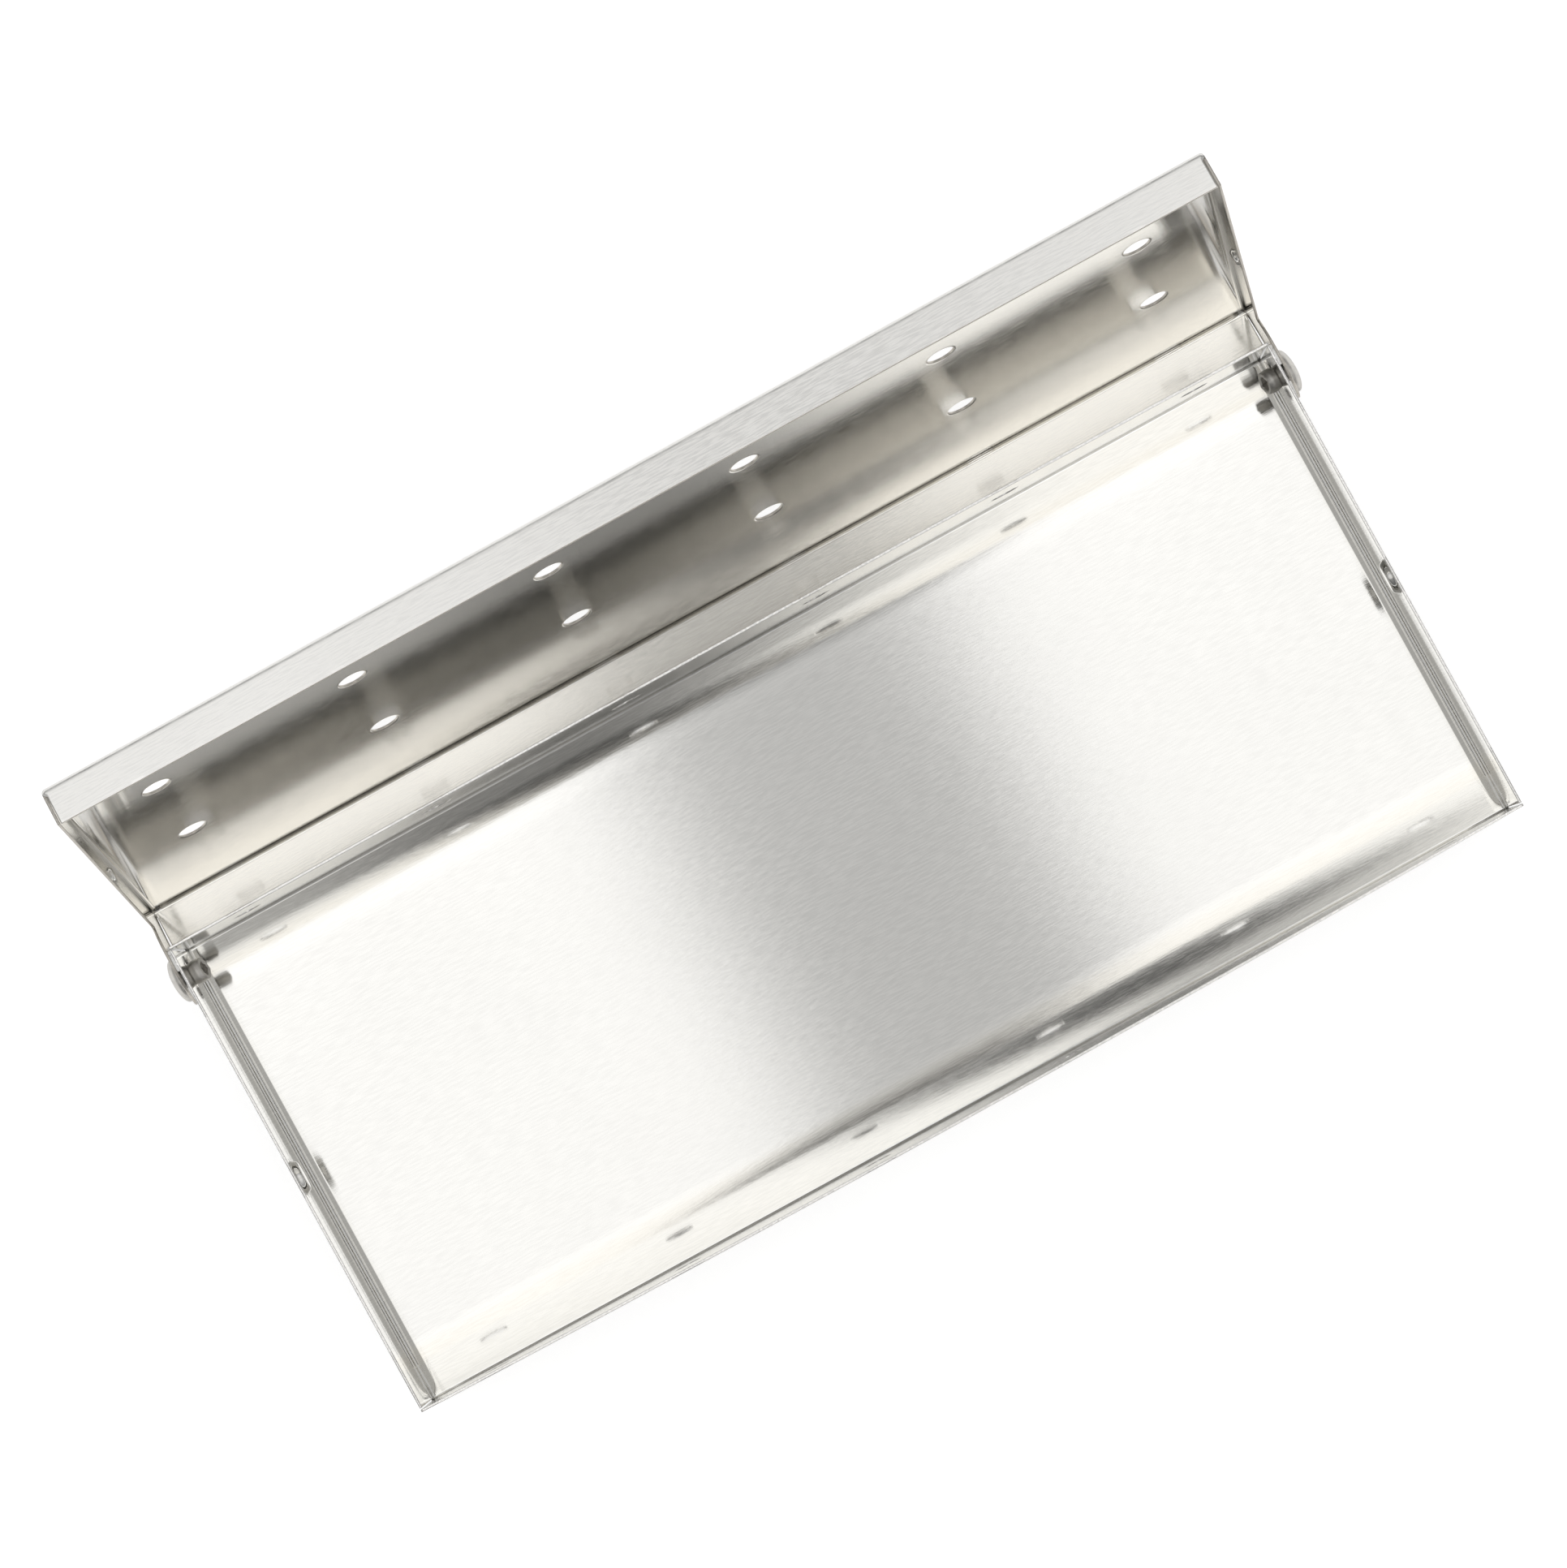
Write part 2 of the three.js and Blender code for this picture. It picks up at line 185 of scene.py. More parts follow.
# Places worked out from the sizes above
HALF = SHEET / 2
PIVOT_Y, PIVOT_Z = (value / MM for value in HINGE["pos_m"][1:])
RIM = TRAY_HIGH.z
HALF_LENGTH = TRAY_HIGH.x
HALF_DEPTH = TRAY_HIGH.y - BACK_BOW
WALL_X = HALF_LENGTH - HALF
WALL_Y = HALF_DEPTH - HALF
FOLD = FOLD_RADIUS + HALF
FOLD_X = WALL_X - FOLD
FOLD_Y = WALL_Y - FOLD
FOLD_TOP = HALF + FOLD
LID_FOLD = LID_FOLD_RADIUS + HALF
PIVOT_INSET = HALF_DEPTH - PIVOT_Y
LID_X = LID_HIGH.x - HALF
PANEL = math.hypot(PIVOT_INSET + BACK_BOW, RIM - PIVOT_Z) + PANEL_SWING + HALF
LIP_EDGE = PANEL + HALF - LIP_HEIGHT
RIM_SWING = math.hypot(PIVOT_Y + HALF_DEPTH + FRONT_BOW, RIM - PIVOT_Z)
LIP = math.sqrt((RIM_SWING + LIP_SWING) ** 2 - LIP_EDGE ** 2) + HALF
FLANGE = PIVOT_INSET + BACK_BOW + FLANGE_GAP + HALF
OPEN_COS, OPEN_SIN = math.cos(math.radians(LID_OPEN)), math.sin(math.radians(LID_OPEN))
STOP_REACH = PIVOT_INSET + BACK_BOW * PIVOT_Z / RIM + STOP_GAP
STOP_EDGE = (STOP_REACH - (FLANGE + HALF) * OPEN_COS) / OPEN_SIN
EAR_MIDDLE = FLANGE + HALF - EAR_RADIUS
EAR_RISE = math.asin((LIP_EDGE - EAR_ABOVE_PIVOT) / EAR_RADIUS)
EAR_NOTCH = EAR_MIDDLE - EAR_RADIUS * math.cos(EAR_RISE)
LID_FOLD_ENDS = (-(LIP - LID_FOLD), FLANGE - LID_FOLD)


def smooth(value):
    """A smooth step from 0 to 1 as value goes from 0 to 1."""
    value = min(max(value, 0.0), 1.0)
    return value * value * (3 - 2 * value)


def fill(values, end, step):
    """Adds stations up to end, evenly and at most step apart."""
    gap = end - values[-1]
    if gap < NOTHING:
        return
    count = max(1, math.ceil(gap / step - NOTHING))
    start = values[-1]
    values.extend(start + gap * n / count for n in range(1, count + 1))


def stations(low, high, cells, step, marks=()):
    """Lines across a wall: fine ones through each (centre, half) cell, even ones between, and the marks."""
    values = [low]
    spread = [math.tan(math.pi / 4 * n / CELL_LINES) for n in range(-CELL_LINES + 1, CELL_LINES + 1)]
    stops = [(centre - half, centre, half) for centre, half in cells] + [(mark, mark, 0) for mark in marks]
    for start, centre, half in sorted(stops):
        fill(values, start, step)
        if half:
            values.extend(centre + half * share for share in spread)
    fill(values, high, step)
    return values


def index_of(values, wanted):
    """The index of the station at a place."""
    return min(range(len(values)), key=lambda n: abs(values[n] - wanted))


class Sheet:
    """Patches of a folded sheet's middle surface. Each point has a place in space and one in the blank."""

    def __init__(self):
        self.places = []
        self.blank = []
        self.faces = []

    def add(self, place, blank):
        self.places.append(place)
        self.blank.append(blank)
        return len(self.places) - 1

    def grid(self, us, vs, place, blank, cells=()):
        """Quads over us by vs, with each (u, v, half) cell left open."""
        rows = [[self.add(place(u, v), blank(u, v)) for u in us] for v in vs]
        open_squares = set()
        for u, v, half in cells:
            column, row = index_of(us, u - half), index_of(vs, v - half)
            side = range(2 * CELL_LINES)
            open_squares.update((column + c, row + r) for c in side for r in side)
        for r in range(len(vs) - 1):
            for c in range(len(us) - 1):
                if (c, r) not in open_squares:
                    self.faces.append((rows[r][c], rows[r][c + 1], rows[r + 1][c + 1], rows[r + 1][c]))

    def disc(self, outline, centre, radii, place, blank, closed=False):
        """Rings from an outline in to a circle and on through the radii. closed fills the middle."""
        middle_u, middle_v = centre
        rings = [outline]
        for radius in radii:
            ring = []
            for u, v in outline:
                away = math.hypot(u - middle_u, v - middle_v)
                out_u, out_v = (u - middle_u) * radius / away, (v - middle_v) * radius / away
                ring.append((middle_u + out_u, middle_v + out_v))
            rings.append(ring)
        indices = [[self.add(place(u, v), blank(u, v)) for u, v in ring] for ring in rings]
        count = len(outline)
        for outer, inner in zip(indices, indices[1:]):
            for n in range(count):
                after = (n + 1) % count
                self.faces.append((outer[n], outer[after], inner[after], inner[n]))
        if closed:
            middle = self.add(place(*centre), blank(*centre))
            last = indices[-1]
            for n in range(count):
                self.faces.append((last[n], last[(n + 1) % count], middle))

    def cell(self, us, vs, u, v, half, radii, place, blank, closed=False):
        """Fills the open cell at u, v of a grid with rings about its centre."""
        lines = 2 * CELL_LINES + 1
        column, row = index_of(us, u - half), index_of(vs, v - half)
        across = us[column:column + lines]
        along = vs[row:row + lines]
        outline = [(x, along[0]) for x in across[:-1]]
        outline += [(across[-1], y) for y in along[:-1]]
        outline += [(x, along[-1]) for x in across[:0:-1]]
        outline += [(across[0], y) for y in along[:0:-1]]
        self.disc(outline, (u, v), radii, place, blank, closed)

    def welded(self):
        """The patches as one bmesh with its blank places as a UV layer."""
        mesh = bmesh.new()
        layer = mesh.loops.layers.uv.new("blank")
        verts = [mesh.verts.new(place) for place in self.places]
        for face in self.faces:
            made = mesh.faces.new([verts[n] for n in face])
            for loop, n in zip(made.loops, face):
                loop[layer].uv = (self.blank[n][0] / BLANK_UNIT, self.blank[n][1] / BLANK_UNIT)
        bmesh.ops.remove_doubles(mesh, verts=mesh.verts, dist=WELD)
        loose = [vert for vert in mesh.verts if not vert.link_faces]
        bmesh.ops.delete(mesh, geom=loose, context="VERTS")
        bmesh.ops.recalc_face_normals(mesh, faces=mesh.faces)
        mesh.verts.index_update()
        mesh.verts.ensure_lookup_table()
        return mesh, layer


def rim_directions(surface):
    """For each vertex on an open edge, the direction that points out of the sheet in its plane."""
    outward = {}
    for edge in surface.edges:
        if len(edge.link_faces) != 1:
            continue
        loop = edge.link_loops[0]
        start, end = loop.vert, loop.link_loop_next.vert
        away = (end.co - start.co).cross(loop.face.normal).normalized()
        for vert in (start, end):
            outward.setdefault(vert.index, []).append(away)
    result = {}
    for index, parts in outward.items():
        total = sum(parts, Vector())
        length = total.length / len(parts)
        result[index] = total.normalized() / max(length, SHARPEST_RIM) if length > CLOSED_RIM else Vector()
    return result


def lifts(surface):
    """For each vertex, the step that moves the faces round it out by one."""
    result = []
    for vert in surface.verts:
        normal = Vector()
        for loop in vert.link_loops:
            normal += loop.face.normal * loop.calc_angle()
        normal.normalize()
        spread = [normal.dot(face.normal) for face in vert.link_faces]
        result.append(normal / max(sum(spread) / len(spread), SHARPEST_FOLD))
    return result


def faces_inward(surface, inside):
    """Whether the surface's normals mostly point towards a place inside its hollow."""
    total = 0.0
    for face in surface.faces:
        total += face.calc_area() * face.normal.dot(Vector(inside) - face.calc_center_median())
    return total > 0


def edge_profile():
    """Points round a cut edge: (back from the rim, up from the middle), in shares of EDGE_ROUND and HALF."""
    upper = ((EDGE_SHOULDER, 1 - EDGE_SHOULDER * EDGE_ROUND / HALF), (0, 1 - EDGE_ROUND / HALF))
    return upper + tuple((back, -up) for back, up in reversed(upper))


def thicken(sheet, name, inside, materials):
    """A closed solid of the sheet's thickness about its middle surface, with rounded cut edges.

    materials are those of the face towards inside, of the other face and of the cut edge.
    """
    surface, layer = sheet.welded()
    outward = rim_directions(surface)
    sides = [0, 1] if faces_inward(surface, inside) else [1, 0]
    lift = lifts(surface)
    places = []
    for way in (1, -1):
        for vert in surface.verts:
            back = outward.get(vert.index, Vector()) * EDGE_ROUND
            places.append(vert.co + lift[vert.index] * HALF * way - back)
    count = len(surface.verts)
    profile = edge_profile()
    rim = {}
    for index, away in outward.items():
        rim[index] = len(places)
        for back, up in profile:
            places.append(surface.verts[index].co + lift[index] * HALF * up - away * EDGE_ROUND * back)
    faces, blanks, slots = [], [], []
    for face in surface.faces:
        corners = [loop.vert.index for loop in face.loops]
        uvs = [tuple(loop[layer].uv) for loop in face.loops]
        faces += [corners, [count + n for n in reversed(corners)]]
        blanks += [uvs, list(reversed(uvs))]
        slots += sides
    for edge in surface.edges:
        if len(edge.link_faces) != 1:
            continue
        loop = edge.link_loops[0]
        a, b = loop.vert.index, loop.link_loop_next.vert.index
        uv_a, uv_b = tuple(loop[layer].uv), tuple(loop.link_loop_next[layer].uv)
        chain_a = [a] + [rim[a] + n for n in range(len(profile))] + [count + a]
        chain_b = [b] + [rim[b] + n for n in range(len(profile))] + [count + b]
        for n in range(len(chain_a) - 1):
            faces.append([chain_b[n], chain_a[n], chain_a[n + 1], chain_b[n + 1]])
            blanks.append([uv_b, uv_a, uv_a, uv_b])
            slots.append(CUT_SLOT)
    surface.free()
    return solid(name, places, faces, materials, slots, blanks)


def solid(name, places, faces, materials, slots=None, blanks=None):
    """Makes a mesh object in metres from places in millimetres."""
    mesh = bpy.data.meshes.new(name)
    mesh.from_pydata([tuple(c * MM for c in place) for place in places], [], [tuple(f) for f in faces])
    if blanks:
        layer = mesh.uv_layers.new(name="blank")
        layer.data.foreach_set("uv", [c for face in blanks for uv in face for c in uv])
    for material in materials:
        mesh.materials.append(material)
    if slots:
        mesh.polygons.foreach_set("material_index", slots)
    mesh.shade_smooth()
    mesh.update()
    piece = bpy.data.objects.new(name, mesh)
    bpy.context.scene.collection.objects.link(piece)
    even = piece.modifiers.new("even_normals", "WEIGHTED_NORMAL")
    even.mode = "FACE_AREA"
    even.weight = EVEN_WEIGHT
    return piece


def press(distance, dimple):
    """How far a dimple stands in at a distance from its centre."""
    run = (dimple["radius"] - distance) / (dimple["radius"] - dimple["flat"])
    return dimple["depth"] * smooth(run)


def dimple_rings(dimple):
    """The radii of the rings that draw a dimple."""
    return [dimple["radius"] - dimple["ring"] * n for n in range(dimple["rings"])] + dimple["middle"]


def bowed(x, y, z):
    """A place on a long wall or the floor, moved by the bow of the wall that it is on or near."""
    bow, low = (FRONT_BOW, FRONT_BOW_LOW) if y < 0 else (BACK_BOW, 0)
    out = (low + (bow - low) * z / RIM) * max(1 - (x / HALF_LENGTH) ** 2, 0)
    near = max(1 - max(FOLD_Y - abs(y), 0) / BOW_REACH, 0)
    return (x, y + math.copysign(out * near, y), z)


def vent_places():
    """Where the vents stand along the length."""
    return [(n - (VENTS - 1) / 2) * VENT_PITCH for n in range(VENTS)]


def extended(lines, limit, reach):
    """Adds columns past both ends of a fold, out to the corner."""
    ends = [limit + reach * share for share in EXTENSION]
    return [-u for u in reversed(ends)] + list(lines) + ends


def raised(sag, away):
    """How far the floor stands above a fold at a distance from it. It is steepest at the fold."""
    left = 1 - min(max(away / sag["reach"], 0.0), 1.0)
    return sag["slope"] * sag["reach"] / (sag["power"] + 1) * (1 - left ** (sag["power"] + 1))


def floor_rise(x, y):
    """How far the floor stands above its long folds. Its ends lie a little lower than its middle."""
    front_top, back_top = raised(FRONT_SAG, FOLD_Y), raised(BACK_SAG, FOLD_Y)
    share = raised(FRONT_SAG, FOLD_Y + y) / front_top * raised(BACK_SAG, FOLD_Y - y) / back_top
    middle = front_top + (back_top - front_top) * (y + FOLD_Y) / (2 * FOLD_Y)
    end_drop = raised(END_SAG, FOLD_X) - raised(END_SAG, FOLD_X - abs(x))
    return share * (middle - end_drop)


def tray_floor(sheet, xs, ys):
    """The floor, up to where its folds start."""
    sheet.grid(xs, ys, lambda u, v: bowed(u, v, HALF + floor_rise(u, v)), lambda u, v: (u, v))


def wall_height(v, fold_top):
    """Height of a wall's line, v being its height above a level fold and fold_top where its own fold ends."""
    return FOLD_TOP + v + (fold_top - FOLD_TOP) * max(1 - v / LEVEL_ABOVE_FOLD, 0)


def tray_blank(limit, v):
    """How far out in the blank a tray wall's line v lies. limit is where its fold starts."""
    return limit + FOLD * FOLD_RUN * (1 + min(v, 0)) + max(v, 0)


def long_wall(sheet, side, lines, heights):
    """A long wall with its fold and its row of vents. side is -1 at the front and 1 at the back."""
    us = extended(lines, FOLD_X, FOLD)
    reach = HALF_LENGTH - FOLD_X

    def place(u, v):
        inner = min(abs(u), FOLD_X)
        past = max(abs(u) - FOLD_X, 0) / FOLD
        if v < 0:
            turn = math.pi / 2 * (1 + v)
            x = inner + past * FOLD * math.sin(turn)
            y = FOLD_Y + FOLD * math.sin(turn)
            z = HALF + FOLD * (1 - math.cos(turn))
        else:
            x = inner + past * (FOLD + (reach - FOLD) * min(v, 1))
            y = WALL_Y
            z = wall_height(v, FOLD_TOP)
        return bowed(math.copysign(x, u), side * y, z)

    def blank(u, v):
        return (u, side * tray_blank(FOLD_Y, v))

    sheet.grid(us, BENDS + [0], place, blank)
    vents = [(x, WALL_VENT_HEIGHT - FOLD_TOP, VENT_CELL) for x in vent_places()]
    sheet.grid(us, heights, place, blank, vents)
    for vent in vents:
        sheet.cell(us, heights, *vent, (VENT_RADIUS + VENT_RING, VENT_RADIUS), place, blank)


def end_wall(sheet, side, lines, heights):
    """An end wall with its fold, dimple and rivet hole. side is -1 at the left and 1 at the right."""
    us = extended(lines, FOLD_Y, FOLD)
    reach = HALF_DEPTH - SHEET - CORNER_GAP - FOLD_Y
    dimple_v = RIM - TRAY_DIMPLE_BELOW_RIM - FOLD_TOP
    hole_v = PIVOT_Z - FOLD_TOP

    def place(u, v):
        inner = min(abs(u), FOLD_Y)
        past = max(abs(u) - FOLD_Y, 0) / FOLD
        rise = floor_rise(FOLD_X, math.copysign(inner, u))
        if v < 0:
            turn = math.pi / 2 * (1 + v)
            x = FOLD_X + FOLD * math.sin(turn)
            y = inner + past * FOLD * math.sin(turn)
            z = HALF + rise + FOLD * (1 - math.cos(turn))
        else:
            x = WALL_X - press(math.hypot(u, v - dimple_v), TRAY_DIMPLE)
            y = inner + past * (FOLD + (reach - FOLD) * min(v, 1))
            z = wall_height(v, FOLD_TOP + rise)
        return (side * x, math.copysign(y, u), z)

    def blank(u, v):
        return (side * tray_blank(FOLD_X, v), u)

    sheet.grid(us, BENDS + [0], place, blank)
    dimple = (0, dimple_v, TRAY_DIMPLE["cell"])
    hole = (PIVOT_Y, hole_v, HOLE_CELL)
    sheet.grid(us, heights, place, blank, [dimple, hole])
    sheet.cell(us, heights, *dimple, dimple_rings(TRAY_DIMPLE), place, blank, closed=True)
    sheet.cell(us, heights, *hole, (TRAY_HOLE_RADIUS,), place, blank)


def make_tray(materials):
    """The folded tray as one closed solid."""
    sheet = Sheet()
    near_ends = [side * (FOLD_X - away) for away in END_LINES for side in (-1, 1)]
    xs = stations(-FOLD_X, FOLD_X, [(x, VENT_CELL) for x in vent_places()], STEP, near_ends)
    near_front = [-FOLD_Y + FLOOR_LINE * n for n in range(1, FLOOR_FRONT_LINES + 1)]
    near_back = [PIVOT_Y - HOLE_CELL - FLOOR_LINE * n for n in range(1, FLOOR_BACK_LINES + 1)]
    cells = [(0, TRAY_DIMPLE["cell"]), (PIVOT_Y, HOLE_CELL)]
    ys = stations(-FOLD_Y, FOLD_Y, cells, STEP / 2, near_front + near_back)
    tray_floor(sheet, xs, ys)
    top = RIM - FOLD_TOP
    heights = stations(0, top, [(WALL_VENT_HEIGHT - FOLD_TOP, VENT_CELL)], STEP, WALL_LINES)
    dimple_v = top - TRAY_DIMPLE_BELOW_RIM
    end_cells = [(PIVOT_Z - FOLD_TOP, HOLE_CELL), (dimple_v, TRAY_DIMPLE["cell"])]
    end_heights = stations(0, top, end_cells, STEP, WALL_LINES)
    for side in (-1, 1):
        long_wall(sheet, side, xs, heights)
        end_wall(sheet, side, ys, end_heights)
    return thicken(sheet, "tray_folded_sheet", (0, 0, RIM / 2), materials)


def opened(x, a, b):
    """A place in the shut lid, a back from the hinge and b above it, turned back to its open stop."""
    return (x, PIVOT_Y + a * OPEN_COS + b * OPEN_SIN, PIVOT_Z - a * OPEN_SIN + b * OPEN_COS)


def lid_fold(v):
    """How far a fold has run out and down at v, from -1 at the panel to 0 at the wall."""
    turn = math.pi / 2 * (1 + v)
    return LID_FOLD * math.sin(turn), LID_FOLD * (1 - math.cos(turn))


def lid_blank(edge, v):
    """How far out in the blank a lid wall's line v lies. edge is where its wall stands."""
    return edge + LID_FOLD * FOLD_RUN * min(v, 0) + max(v, 0)


def lid_long_flap(sheet, side, edge, depth, lines):
    """The front lip, side -1, or the back flange, side 1. edge is where its wall stands."""
    spring = math.tan(math.radians(FLANGE_SPRING)) if side > 0 else 0
    limit = LID_X - LID_FOLD
    us = extended(lines, limit, LID_FOLD)
    reach = LID_X - HALF - SEAM - limit

    def place(u, v):
        inner = min(abs(u), limit)
        past = max(abs(u) - limit, 0) / LID_FOLD
        if v < 0:
            out, down = lid_fold(v)
            x, a, b = inner + past * out, edge - LID_FOLD + out, PANEL - down
        else:
            x = inner + past * (LID_FOLD + (reach - LID_FOLD) * min(v / SEAM_START, 1))
            a, b = edge + spring * v, PANEL - LID_FOLD - v
        return opened(math.copysign(x, u), side * a, b)

    def blank(u, v):
        return (u, side * lid_blank(edge, v))

    sheet.grid(us, BENDS + stations(0, depth, [], FLAP_STEP, [SEAM_START]), place, blank)


def lid_end(sheet, side, lines):
    """An end wall of the lid, with its dimple and its round ear."""
    low, high = LID_FOLD_ENDS
    ends = [LID_FOLD * share for share in EXTENSION]
    us = [low - e for e in reversed(ends)] + list(lines) + [high + e for e in ends]
    wall_top = PANEL - LID_FOLD
    dimple_b = LIP_EDGE + LID_DIMPLE_ABOVE_EDGE

    def flat(a, b):
        pressed = press(math.hypot(a + PIVOT_Y, b - dimple_b), LID_DIMPLE)
        return opened(side * (LID_X - pressed), a, b)

    def place(u, v):
        inner = min(max(u, low), high)
        past = (u - inner) / LID_FOLD
        if v < 0:
            out, down = lid_fold(v)
            return opened(side * (LID_X - LID_FOLD + out), inner + past * out, PANEL - down)
        return flat(inner + past * (LID_FOLD + HALF * min(v / SEAM_START, 1)), wall_top - v)

    def blank(u, v):
        return (side * lid_blank(LID_X, v), u)

    def flat_blank(a, b):
        return blank(a, wall_top - b)

    sheet.grid(us, BENDS + [0], place, blank)
    dimple = (-PIVOT_Y, wall_top - dimple_b, LID_DIMPLE["cell"])
    vs = stations(0, wall_top - LIP_EDGE, [dimple[1:]], FLAP_STEP, [SEAM_START])
    strip = us[:index_of(us, EAR_NOTCH) + 1]
    sheet.grid(strip, vs, place, blank, [dimple])
    sheet.cell(strip, vs, *dimple, dimple_rings(LID_DIMPLE), place, blank, closed=True)
    top = [(u, wall_top) for u in us[len(strip) - 1:-1]]
    back = [(FLANGE, wall_top)]
    back_top = wall_top - SEAM_START
    down = stations(0, back_top - EAR_ABOVE_PIVOT, [], EAR_STEP)
    back += [(FLANGE + HALF, back_top - d) for d in down]
    arc = [(math.pi + EAR_RISE) * n / EAR_ARC_STEPS for n in range(1, EAR_ARC_STEPS + 1)]
    lobe = [(EAR_MIDDLE + EAR_RADIUS * math.cos(t), EAR_ABOVE_PIVOT - EAR_RADIUS * math.sin(t)) for t in arc]
    shared = [(EAR_NOTCH, wall_top - v) for v in reversed(vs[1:-1])]
    sheet.disc(top + back + lobe + shared, (0, 0), (EAR_HOLE_RING, EAR_HOLE_RADIUS), flat, flat_blank)


def make_lid(materials):
    """The folded lid as one closed solid, drawn at its open stop."""
    sheet = Sheet()
    limit = LID_X - LID_FOLD
    xs = stations(-limit, limit, [(x, VENT_CELL) for x in vent_places()], STEP)
    cells = [(row, VENT_CELL) for row in LID_VENT_ROWS] + [(-PIVOT_Y, LID_DIMPLE["cell"])]
    ear_lines = [EAR_NOTCH + EAR_LINE * n for n in range(EAR_LINES)]
    ys = stations(*LID_FOLD_ENDS, cells, STEP / 2, ear_lines)

    def place(u, v):
        return opened(u, v, PANEL)

    def blank(u, v):
        return (u, v)

    vents = [(x, row, VENT_CELL) for x in vent_places() for row in LID_VENT_ROWS]
    sheet.grid(xs, ys, place, blank, vents)
    for vent in vents:
        sheet.cell(xs, ys, *vent, (VENT_RADIUS + VENT_RING, VENT_RADIUS), place, blank)
    lid_long_flap(sheet, -1, LIP, PANEL - LID_FOLD - LIP_EDGE, xs)
    lid_long_flap(sheet, 1, FLANGE, PANEL - LID_FOLD - STOP_EDGE, xs)
    for side in (-1, 1):
        lid_end(sheet, side, ys)
    return thicken(sheet, "lid_folded_sheet", opened(0, -LIP / 2, 0), materials)


def ripple(angle, side):
    """Uneven ups and downs round a torn or squeezed end, different at each end of the box."""
    first, second, third = (count * angle for count in WAVES)
    return math.sin(first + WAVE_TURN) + SECOND_WAVE * math.sin(second + side) + THIRD_WAVE * math.sin(third)


def turned(name, profile, side, material, rough):
    """A closed profile of (radius, out) points turned about the hinge line at one end.

    out is measured from the inside face of the tray's end wall. The tail's points lean, and ripple by rough.
    """
    places, faces = [], []
    count = len(profile)
    for step in range(ROUND_STEPS):
        angle = 2 * math.pi * step / ROUND_STEPS
        for radius, out in profile:
            up = radius * math.cos(angle)
            if out < TAIL_SLANT_FROM:
                lean = min((TAIL_SLANT_FROM - out) / (TAIL_MIDDLE + TAIL_SLANT_FROM), 1)
                out += TAIL_SLANT * up * lean
                out += rough * ripple(angle, side) * lean
            y, z = PIVOT_Y + radius * math.sin(angle), PIVOT_Z + up
            places.append((side * (HALF_LENGTH - SHEET + out), y, z))
    for step in range(ROUND_STEPS):
        after = (step + 1) % ROUND_STEPS
        for n in range(count):
            m = (n + 1) % count
            if profile[n][0] == 0 and profile[m][0] == 0:
                continue
            quad = [step * count + n, step * count + m, after * count + m, after * count + n]
            faces.append(quad if side > 0 else quad[::-1])
    mesh = bmesh.new()
    verts = [mesh.verts.new(place) for place in places]
    for face in faces:
        mesh.faces.new([verts[n] for n in face])
    bmesh.ops.remove_doubles(mesh, verts=mesh.verts, dist=TURNED_WELD)
    bmesh.ops.recalc_face_normals(mesh, faces=mesh.faces)
    mesh.verts.index_update()
    welded_faces = [[vert.index for vert in face.verts] for face in mesh.faces]
    piece = solid(name, [vert.co for vert in mesh.verts], welded_faces, [material])
    mesh.free()
    return piece


def make_rivet(side, label, material):
    """A set blind rivet: domed head outside the ear, bulged and slanted tail inside the tray."""
    end = -TAIL_MIDDLE
    lip = TAIL_EDGE - TAIL_LIP
    profile = [(BORE_RADIUS + past, end + out) for past, out in TAIL_MOUTH]
    profile.append((lip, end))
    for n in range(1, TAIL_LIP_STEPS + 1):
        turn = math.pi / 2 * n / TAIL_LIP_STEPS
        profile.append((lip + TAIL_LIP * math.sin(turn), end + TAIL_LIP * (1 - math.cos(turn))))
    for n in range(1, TAIL_STEPS + 1):
        share = n / TAIL_STEPS
        radius = TAIL_EDGE + (TAIL_WAIST - TAIL_EDGE) * share + TAIL_SWELL * math.sin(math.pi * share)
        profile.append((radius, (end + TAIL_LIP) * (1 - share)))
    profile += [(SHANK_RADIUS, 0), (SHANK_RADIUS, HEAD_SEAT), (HEAD_RADIUS - HEAD_BEVEL, HEAD_SEAT)]
    profile += [(HEAD_RADIUS, HEAD_SEAT + HEAD_BEVEL), (HEAD_RADIUS, HEAD_SEAT + HEAD_EDGE)]
    crown = HEAD_HEIGHT - HEAD_EDGE
    last = math.acos((BORE_RADIUS + BORE_FLARE) / HEAD_RADIUS)
    for n in range(1, CROWN_STEPS + 1):
        turn = last * n / CROWN_STEPS
        profile.append((HEAD_RADIUS * math.cos(turn), HEAD_SEAT + HEAD_EDGE + crown * math.sin(turn)))
    top = HEAD_SEAT + HEAD_EDGE + crown * math.sin(last)
    profile += [(BORE_RADIUS, top - BORE_BEVEL), (BORE_RADIUS, HEAD_SEAT)]
    piece = turned("rivet_body_" + label, profile, side, material, TAIL_ROUGH)
    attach(piece, "tray")
    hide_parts("rivet_" + label)


def make_mandrel(side, label, material):
    """The broken end of the setting mandrel inside the rivet, with its torn head in the tail."""
    end = -TAIL_MIDDLE + MANDREL_INSET
    top = HEAD_SEAT + MANDREL_RECESS
    profile = [(radius, end + out) for radius, out in TORN_HEAD]
    profile += [(MANDREL_RADIUS, end + MANDREL_NECK), (MANDREL_RADIUS, top - MANDREL_EDGE_DROP)]
    profile += [(MANDREL_RADIUS - MANDREL_BEVEL, top), (0, top - MANDREL_MIDDLE_DROP)]
    piece = turned("mandrel_end_" + label, profile, side, material, MANDREL_ROUGH)
    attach(piece, "tray")
    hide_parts("mandrel_" + label)


